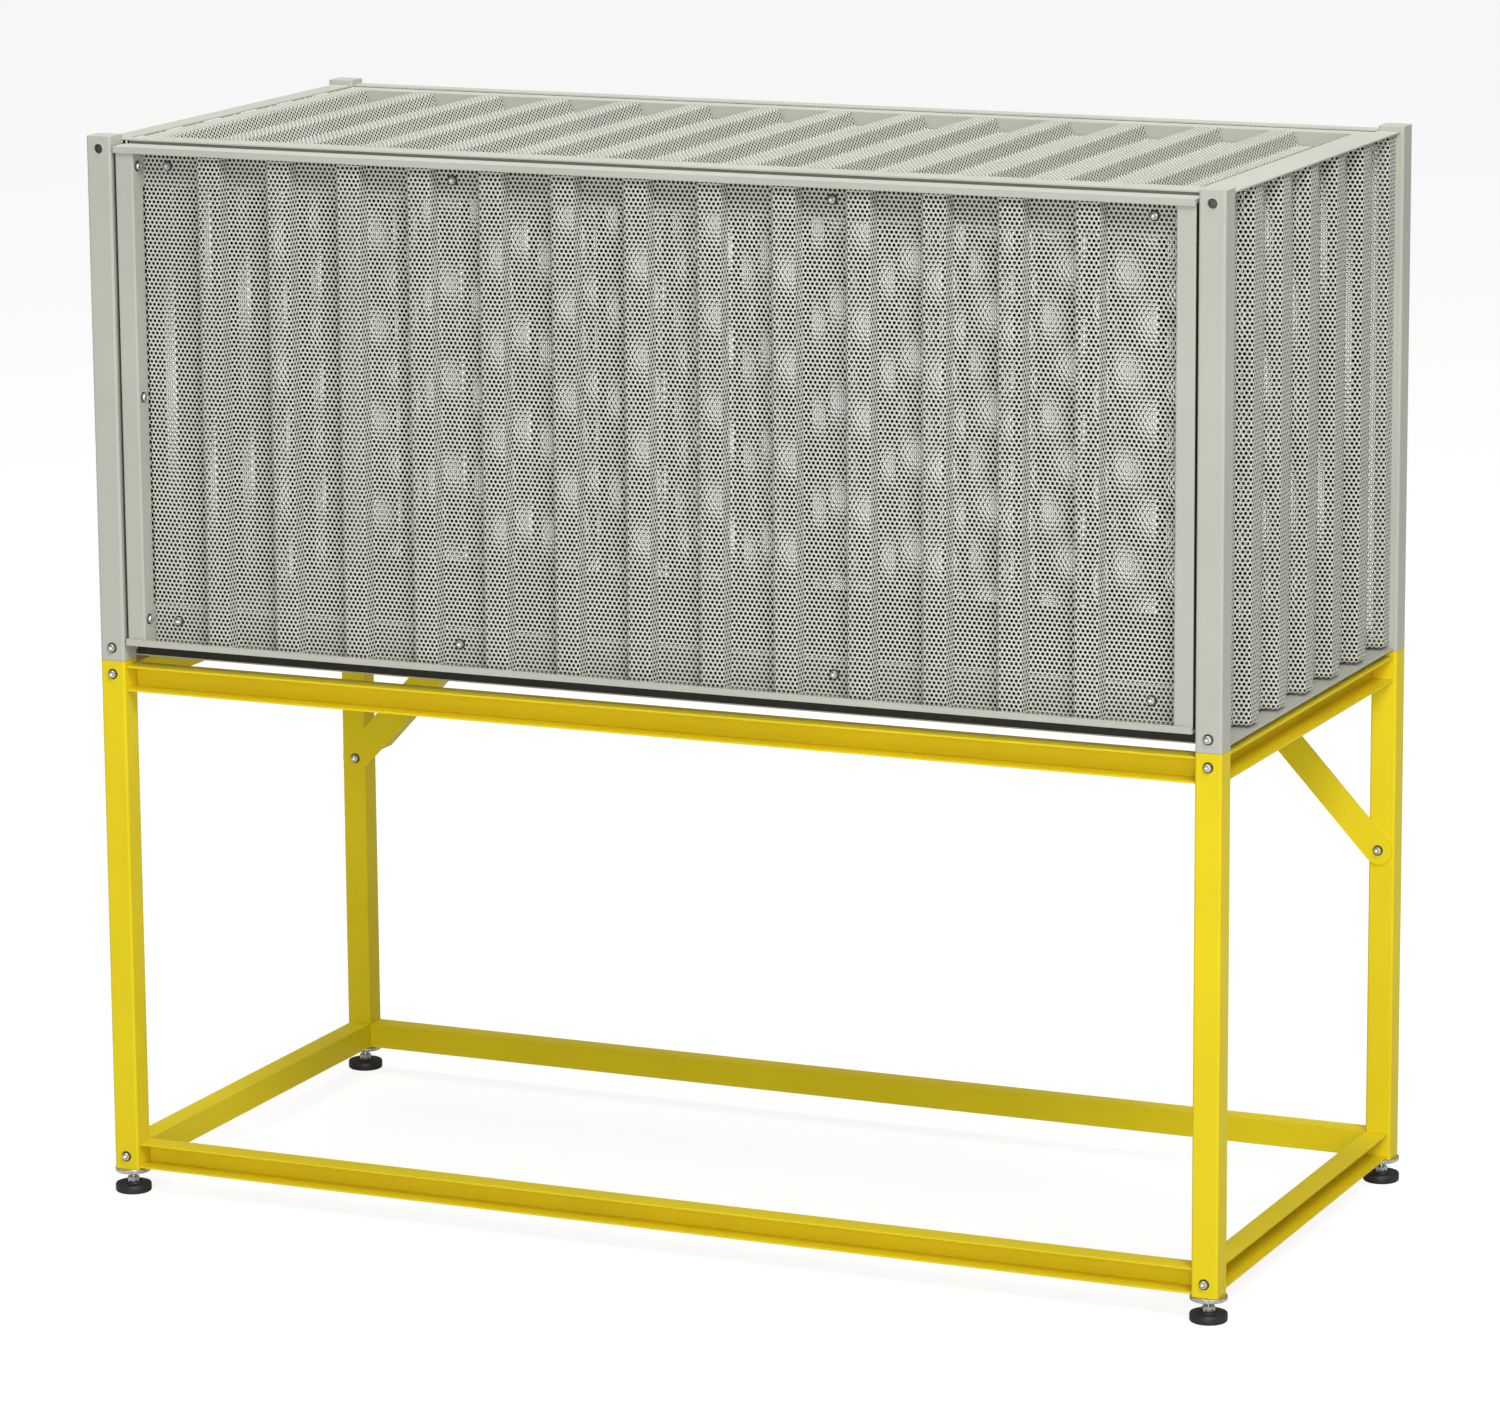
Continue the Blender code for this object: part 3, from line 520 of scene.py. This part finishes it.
def roof_margin(front, rear, side):
    """The sheet metal without holes round these edges of the roof's perforation."""
    box_low, box_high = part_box("roof_panel")
    top, trough = box_high.z, box_low.z + SHEET
    bm = bmesh.new()
    boxes = (
        ((box_low.x, box_low.y, top - SHEET), (box_high.x, front + SHEET, top)),
        ((box_low.x, rear - SHEET, top - SHEET), (box_high.x, box_high.y, top)),
        ((box_low.x, front + SHEET, top - SHEET), (-side, rear - SHEET, top)),
        ((side, front + SHEET, top - SHEET), (box_high.x, rear - SHEET, top)),
        ((box_low.x, front, trough - SHEET), (box_high.x, front + SHEET, top - SHEET)),
        ((box_low.x, rear - SHEET, trough - SHEET), (box_high.x, rear, top - SHEET)),
    )
    for corner_low, corner_high in boxes:
        corner_low, corner_high = Vector(corner_low), Vector(corner_high)
        matrix = Matrix.Translation((corner_low + corner_high) / 2)
        matrix @= Matrix.Diagonal((*(corner_high - corner_low), 1))
        bmesh.ops.create_cube(bm, size=1, matrix=matrix)
    mesh = bpy.data.meshes.new("roof_margin")
    bm.to_mesh(mesh)
    bm.free()
    finish_piece(new_piece("roof_margin", mesh), "cabinet", "grey_paint", ("roof_panel",))


# Turned parts

def lathe(bm, profile, matrix, steps=36, hexagon=()):
    """A solid turned round the matrix's Z axis from (radius, height) points. The rings named in
    hexagon have six sides, the radius being the one to their corners."""
    rings = []
    for index, (radius, height) in enumerate(profile):
        ring = []
        for step in range(steps):
            angle = 2 * math.pi * step / steps
            reach = radius
            if index in hexagon:
                reach *= math.cos(math.pi / 6) / math.cos(angle % (math.pi / 3) - math.pi / 6)
            point = Vector((reach * math.cos(angle), reach * math.sin(angle), height))
            ring.append(bm.verts.new(matrix @ point))
        rings.append(ring)
    for ring, above in zip(rings, rings[1:]):
        for step in range(steps):
            after = (step + 1) % steps
            bm.faces.new((ring[step], ring[after], above[after], above[step]))
    bm.faces.new(list(reversed(rings[0])))
    bm.faces.new(rings[-1])


def solid_piece(name, bm, body, slot, nodes=(), material=None, sharp=30):
    """A finished piece from a closed bmesh, smooth but for edges sharper than this."""
    mesh = bpy.data.meshes.new(name)
    bm.normal_update()
    bm.to_mesh(mesh)
    bm.free()
    mesh.shade_smooth()
    mesh.set_sharp_from_angle(angle=math.radians(sharp))
    return finish_piece(new_piece(name, mesh), body, slot, nodes, material)


FORWARD = Matrix.Rotation(math.pi / 2, 4, "X")
BACKWARD = Matrix.Rotation(-math.pi / 2, 4, "X")
UPRIGHT = Matrix.Identity(4)


def turned(name, place, facing, profile, body, slot, nodes=(), material=None, hexagon=()):
    """A turned piece at a place, its axis as the facing matrix turns it."""
    bm = bmesh.new()
    lathe(bm, profile, Matrix.Translation(place) @ facing, hexagon=hexagon)
    return solid_piece(name, bm, body, slot, nodes, material)


def screw(name, place, body, nodes=(), facing=FORWARD):
    """A button head with a hexagon socket on a thin washer, painted dark as the shade round the head. The
    place is on the seat's face.
    """
    washer = ((WASHER, -0.0004), (WASHER, 0.0005), (WASHER - 0.0003, 0.0008), (HEAD * 0.9, 0.0008))
    # Painted shade: the washer's black ring stands for the shade round the head
    turned(f"{name}_washer", place, facing, washer, body, "zinc_plate", nodes, WASHER_PAINTED_SHADE)
    shoulder = HEAD * 0.8
    button = ((HEAD, 0.0006), (HEAD, HEAD_HEIGHT * 0.45), (HEAD * 0.95, HEAD_HEIGHT * 0.72),
              (shoulder, HEAD_HEIGHT * 0.93), (shoulder * 0.75, HEAD_HEIGHT))
    socket = ((SOCKET * 1.12, HEAD_HEIGHT), (SOCKET, HEAD_HEIGHT * 0.9), (SOCKET, HEAD_HEIGHT * 0.3))
    six_sided = range(len(button), len(button) + len(socket))
    turned(f"{name}_head", place, facing, button + socket, body, "zinc_plate", nodes, hexagon=six_sided)


def cad_screw(node):
    """The screw that stands for a CAD screw, on the same seat."""
    box_low, box_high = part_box(node)
    middle = (box_low + box_high) / 2
    place = Vector((middle.x, box_low.y + CAD_HEAD_TOP, middle.z))
    screw(node, place, body_of(node), (node,))


def frame_screws():
    """The screws of the posts, legs and braces, one pair for each CAD node."""
    for side, _ in SIDES:
        for name in ("cabinet_screw", "stand_screw_top", "stand_screw_foot", "brace_screw"):
            cad_screw(f"{name}_{side}")


def brace_top_screws():
    """The upper screws of the braces, which the CAD leaves out."""
    for name, side in SIDES:
        brace = f"brace_{name}"
        inner = high(brace).x if side < 0 else low(brace).x
        inset, drop = BRACE_SCREW_INSET
        place = Vector((inner + side * inset, low(brace).y, high(brace).z - drop))
        screw(f"brace_top_screw_{name}", place, body_of(brace))


def stile_screws():
    """Screws on the inner faces of the flap's stiles."""
    for name, side in SIDES:
        box_low, box_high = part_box(f"flap_stile_{name}")
        inner = box_low.x if side > 0 else box_high.x
        heights = (low("flap_screw_bottom_left").z + STILE_FOOT_RISE, (box_low.z + box_high.z) / 2,
                   low("flap_screw_top_left").z + ROW_RISE)
        for label, height in zip(("bottom", "middle", "top"), heights):
            screw(f"stile_screw_{label}_{name}", Vector((inner, box_low.y + STILE_SCREW_INSET, height)),
                  "flap", facing=Matrix.Rotation(-side * math.pi / 2, 4, "Y"))


def flap_screws():
    """The screws in the corners of the flap's sheet, and those between them in its troughs."""
    for side, _ in SIDES:
        for end in ("bottom", "top"):
            cad_screw(f"flap_screw_{end}_{side}")
    trough = high("flap_panel").y - SHEET
    for end in ("bottom", "top"):
        for x, label in RIVETS:
            height = low(f"flap_screw_{end}_left").z + ROW_RISE
            screw(f"flap_rivet_{end}_{label}", Vector((x, trough, height)), "flap")


# Levelling feet

def foot_nut(name, base, floor, seat, body, spindle):
    """The hexagon nut on the pad, with the stem below it."""
    profile = ((STEM, floor), (NUT, seat - 0.0010), (NUT, seat + NUT_HEIGHT - 0.0008),
               (0.0060, seat + NUT_HEIGHT), (STEM, seat + NUT_HEIGHT))
    turned(f"{name}_foot_nut", base, UPRIGHT, profile, body, "zinc_plate", (spindle,), hexagon=(1, 2))


def foot_disc(name, base, radius, top, body, spindle):
    """The disc under the leg, on a short cone."""
    under = top - DISC_HEIGHT
    profile = ((0.0072, under - 0.0020), (radius - 0.0040, under - 0.0004), (radius - 0.0006, under),
               (radius, under + 0.0006), (radius, top - 0.0006), (radius - 0.0006, top), (0.0060, top))
    turned(f"{name}_foot_disc", base, UPRIGHT, profile, body, "zinc_plate", (spindle,))


def foot_thread(name, base, bottom, top, body, spindle):
    """The visible thread, as rings, between nut and disc."""
    root = STEM - THREAD_DEPTH
    profile = []
    for step in range(int((top - bottom) / THREAD_TURN)):
        start = bottom + step * THREAD_TURN
        profile += [(root, start), (STEM + 0.0001, start + 0.5 * THREAD_TURN)]
    profile.append((root, top - 0.0010))
    bm = bmesh.new()
    lathe(bm, profile, Matrix.Translation(base))
    solid_piece(f"{name}_foot_thread", bm, body, "zinc_plate", (spindle,), sharp=20)


def foot_pad(name, base, pad):
    """The moulded pad, with a raised collar round the stem."""
    pad_low, pad_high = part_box(pad)
    radius, top = (pad_high.x - pad_low.x) / 2, pad_high.z
    skirt = ((radius - 0.0012, 0), (radius - 0.0002, 0.0008), (radius, 0.0020), (radius, top - 0.0026),
             (radius - 0.0006, top - 0.0015), (radius - 0.0020, top - 0.0010))
    collar = ((0.0105, top - 0.0008), (0.0100, top), (0.0075, top), (0.0072, top - 0.0012),
              (0.0030, top - 0.0012))
    turned(f"{name}_foot_pad", base, UPRIGHT, skirt + collar, body_of(pad), "foot_plastic", (pad,))


def foot(name):
    """A levelling foot under a leg."""
    spindle, pad = f"foot_spindle_{name}", f"foot_pad_{name}"
    box_low, box_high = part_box(spindle)
    middle = (box_low + box_high) / 2
    base = Vector((middle.x, middle.y, 0))
    body = body_of(spindle)
    seat = high(pad).z
    foot_nut(name, base, box_low.z + 0.0010, seat, body, spindle)
    foot_disc(name, base, (box_high.x - box_low.x) / 2 + DISC_OVERSIZE, UNDER_LEG, body, spindle)
    foot_thread(name, base, seat + 0.0046, UNDER_LEG, body, spindle)
    foot_pad(name, base, pad)


def feet():
    for end, _ in ENDS:
        for side, _ in SIDES:
            foot(f"{end}_{side}")


# Black strips and sheets: painted shade in gaps and in the cabinet's interior

def shade_strip(name, corner_low, corner_high, body):
    """A thin black strip with eased edges: painted shade where it stands."""
    corner_low, corner_high = Vector(corner_low), Vector(corner_high)
    size = corner_high - corner_low
    bm = bmesh.new()
    matrix = Matrix.Translation((corner_low + corner_high) / 2) @ Matrix.Diagonal((*size, 1))
    bmesh.ops.create_cube(bm, size=1, matrix=matrix)
    bmesh.ops.bevel(bm, geom=bm.edges[:], offset=min(size) * 0.3, segments=2, affect="EDGES")
    solid_piece(name, bm, body, "magnet_black", (), SHADE_BLACK)


def flap_shade_strips():
    """Black strips: painted shade in the gaps beside the flap, and behind its sheet over the rails."""
    for name, side in SIDES:
        # Painted shade: a black strip on each stile's outer face, for the shade in the gap to the post
        box_low, box_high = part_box(f"flap_stile_{name}")
        outer = box_high.x if side > 0 else box_low.x
        across = sorted((outer - side * SHADE_STRIP_SUNK, outer + side * SHADE_STRIP_PROUD))
        shade_strip(f"flap_shade_strip_{name}", (across[0], box_low.y + 0.0004, box_low.z + 0.002),
               (across[1], box_high.y, box_high.z - 0.002), "flap")
    box_low, box_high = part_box("flap_panel")
    # Painted shade: black strips behind the sheet over the rails, for the shade seen through the holes
    for node in ("flap_rail_bottom", "flap_rail_top"):
        bottom, top = max(low(node).z, box_low.z) + SHEET, min(high(node).z, box_high.z) - SHEET
        shade_strip(f"{node}_shade_backing", (box_low.x + SHEET, box_high.y - 0.0003, bottom),
               (box_high.x - SHEET, box_high.y + 0.0001, top), "flap")


def tray_shade_sheets():
    """Black sheets: painted shade of the interior on the floor tray, turned up at the rear, and of the gap
    on the sill below the flap.
    """
    box_low, box_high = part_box("floor_tray")
    base = box_low.z + SHEET
    left, right = box_low.x + SHADE_SHEET_MARGIN, box_high.x - SHADE_SHEET_MARGIN
    # Painted shade: a black sheet on the tray's floor and up its rear, for the interior in shade
    shade_strip("floor_shade_sheet", (left, box_low.y + SHADE_SHEET_MARGIN, base),
           (right, box_high.y - SHADE_SHEET_MARGIN, box_low.z + 2 * SHEET), "cabinet")
    shade_strip("floor_shade_sheet_rear", (left, box_high.y - 0.0025, base),
           (right, box_high.y - 0.0014, box_high.z), "cabinet")
    # Painted shade: a black strip on the sill, for the shade in the gap under the flap
    shade_strip("sill_shade_strip", (box_low.x, box_low.y - 0.0012, base),
           (box_high.x, box_low.y + SHADE_STRIP_SUNK, box_high.z), "cabinet")


# Post ports: a rolled rim round each hole

PORT_SECTION = ((0.0062, -0.0001), (0.0060, 0.0004), (0.0055, 0.0006), (0.0050, 0.0003),
                (0.0048, -0.0004), (0.0048, -0.0019), (0.0056, -0.0019))


def add_ring(bm, matrix, section, steps=36):
    """A closed ring turned from a loop of (radius, height) points."""
    turns = [direction(2 * math.pi * step / steps) for step in range(steps)]
    rings = [[bm.verts.new(matrix @ Vector((*(radius * turn), height))) for turn in turns]
             for radius, height in section]
    for ring, above in zip(rings, rings[1:] + rings[:1]):
        for step in range(steps):
            after = (step + 1) % steps
            bm.faces.new((ring[step], above[step], above[after], ring[after]))
    bmesh.ops.recalc_face_normals(bm, faces=bm.faces)


def port_rims():
    for end, back in ENDS:
        for side, _ in SIDES:
            box_low, box_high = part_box(f"post_{end}_{side}")
            face, facing = (box_low.y, FORWARD) if back < 0 else (box_high.y, BACKWARD)
            centre = Vector(((box_low.x + box_high.x) / 2, face, box_high.z - PORT_DROP))
            bm = bmesh.new()
            add_ring(bm, Matrix.Translation(centre) @ facing, PORT_SECTION)
            solid_piece(f"post_{end}_{side}_port", bm, "cabinet", "grey_paint")


# Stage

CAMERA_PLACE = Vector((2.596, -5.880, 1.866))
CAMERA_YAW = math.radians(23.86)
CAMERA_PITCH = math.radians(12.03)
CAMERA_ROLL = math.radians(-0.42)
CAMERA_LENS = 155.56
LIGHT_AIM = (0, 0, 0.6)
LIGHTS = (
    ("key", (3.9, -4.3, 6.2), 3.6, 350),
    ("fill", (2.6, -6.8, 1.9), 3.0, 170),
    ("top", (-0.4, 0.3, 5.6), 3.2, 205),
)
AMBIENT = 0.22  # of the white world, as a light
FLOOR_GLOW = 0.87
FLOOR_SHOWN = (0.20, 0.20, 0.20)  # the floor's colour to the camera, under its glow
FLOOR_BOUNCE = (0.60, 0.60, 0.60)  # and to the light that it sends back to the object
FLOOR_HALF = 30


def make_camera():
    camera = bpy.data.objects.new("camera", bpy.data.cameras.new("camera"))
    bpy.context.scene.collection.objects.link(camera)
    camera.data.lens = CAMERA_LENS
    camera.data.sensor_width = 36
    camera.data.clip_end = 60
    turn = Matrix.Rotation(CAMERA_YAW, 4, "Z") @ Matrix.Rotation(math.pi / 2 - CAMERA_PITCH, 4, "X")
    camera.matrix_world = Matrix.Translation(CAMERA_PLACE) @ turn @ Matrix.Rotation(CAMERA_ROLL, 4, "Z")
    bpy.context.scene.camera = camera


def make_light(name, place, size, power):
    """A round soft box of this diameter and power, turned towards the object."""
    data = bpy.data.lights.new(name, "AREA")
    data.shape = "DISK"
    data.size = size
    data.energy = power
    light = bpy.data.objects.new(name, data)
    bpy.context.scene.collection.objects.link(light)
    light.location = place
    light.rotation_euler = (Vector(LIGHT_AIM) - Vector(place)).to_track_quat("-Z", "Y").to_euler()


def make_world():
    """White behind the object, but dim as a light, so that the soft boxes do the shading."""
    world = bpy.data.worlds.new("studio")
    world.use_nodes = True
    tree = world.node_tree
    dim = tree.nodes["Background"]
    dim.inputs["Color"].default_value = (1, 1, 1, 1)
    dim.inputs["Strength"].default_value = AMBIENT
    white = add_node(tree, "ShaderNodeBackground", Color=(1, 1, 1, 1), Strength=1)
    paths = tree.nodes.new("ShaderNodeLightPath")
    chosen = tree.nodes.new("ShaderNodeMixShader")
    tree.links.new(paths.outputs["Is Camera Ray"], chosen.inputs["Fac"])
    tree.links.new(dim.outputs["Background"], chosen.inputs[1])
    tree.links.new(white.outputs["Background"], chosen.inputs[2])
    tree.links.new(chosen.outputs["Shader"], tree.nodes["World Output"].inputs["Surface"])
    bpy.context.scene.world = world


def floor_look():
    """A pale floor that shows nearly white, with faint soft shadows, and lights the stand from below."""
    material = plain("studio_floor", FLOOR_SHOWN, 0.9)
    tree = material.node_tree
    shown = tree.nodes["Principled BSDF"]
    shown.inputs["Specular IOR Level"].default_value = 0
    shown.inputs["Emission Color"].default_value = (1, 1, 1, 1)
    shown.inputs["Emission Strength"].default_value = FLOOR_GLOW
    bounce = add_node(tree, "ShaderNodeBsdfDiffuse", Color=(*FLOOR_BOUNCE, 1))
    paths = tree.nodes.new("ShaderNodeLightPath")
    chosen = tree.nodes.new("ShaderNodeMixShader")
    tree.links.new(paths.outputs["Is Camera Ray"], chosen.inputs["Fac"])
    tree.links.new(bounce.outputs["BSDF"], chosen.inputs[1])
    tree.links.new(shown.outputs["BSDF"], chosen.inputs[2])
    tree.links.new(chosen.outputs["Shader"], tree.nodes["Material Output"].inputs["Surface"])
    return material


def make_stage():
    bm = bmesh.new()
    bmesh.ops.create_grid(bm, x_segments=1, y_segments=1, size=FLOOR_HALF)
    mesh = bpy.data.meshes.new("floor")
    bm.to_mesh(mesh)
    bm.free()
    floor = new_piece("floor", mesh)
    floor.data.materials.append(floor_look())
    make_world()
    for light in LIGHTS:
        make_light(*light)
    bpy.context.scene.view_settings.view_transform = "Standard"


def dress_cad():
    """Gives every CAD node that is still shown the look of its material slot."""
    for part in frame["record"]["subparts"]:
        node = frame["nodes"][part["node"]]
        for slot in node.material_slots:
            slot.material = LOOKS[part["material_slot"]]


make_camera()
make_stage()
dress_cad()
flap_sheet()
side_sheets()
back_sheet()
roof_sheet()
frame_screws()
flap_screws()
brace_top_screws()
stile_screws()
feet()
port_rims()
flap_shade_strips()
tray_shade_sheets()
